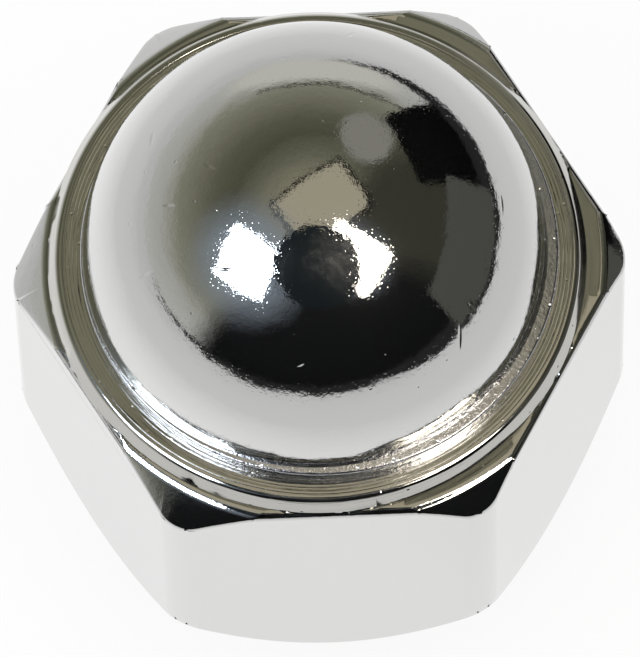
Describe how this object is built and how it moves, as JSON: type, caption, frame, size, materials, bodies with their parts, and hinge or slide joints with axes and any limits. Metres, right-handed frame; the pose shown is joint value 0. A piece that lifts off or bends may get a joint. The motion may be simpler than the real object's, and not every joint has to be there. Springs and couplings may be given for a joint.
{
  "type": "cap nut",
  "caption": "Closed hexagon cap nut with a turned collar, a domed end and a conical seat round its threaded hole.",
  "frame": {"origin": "centre of the end face round the hole's mouth, at the bottom of the nut", "axes": "+Z along the thread axis, from the hole's mouth to the top of the dome; two flats of the hexagon face -Y and +Y"},
  "size_m": [0.0216, 0.019, 0.0256],
  "materials": {
    "chrome_plate": "bright decorative chrome plate over buffed steel"
  },
  "bodies": {
    "root": {"cap_nut": "chrome_plate"}
  },
  "joints": []
}
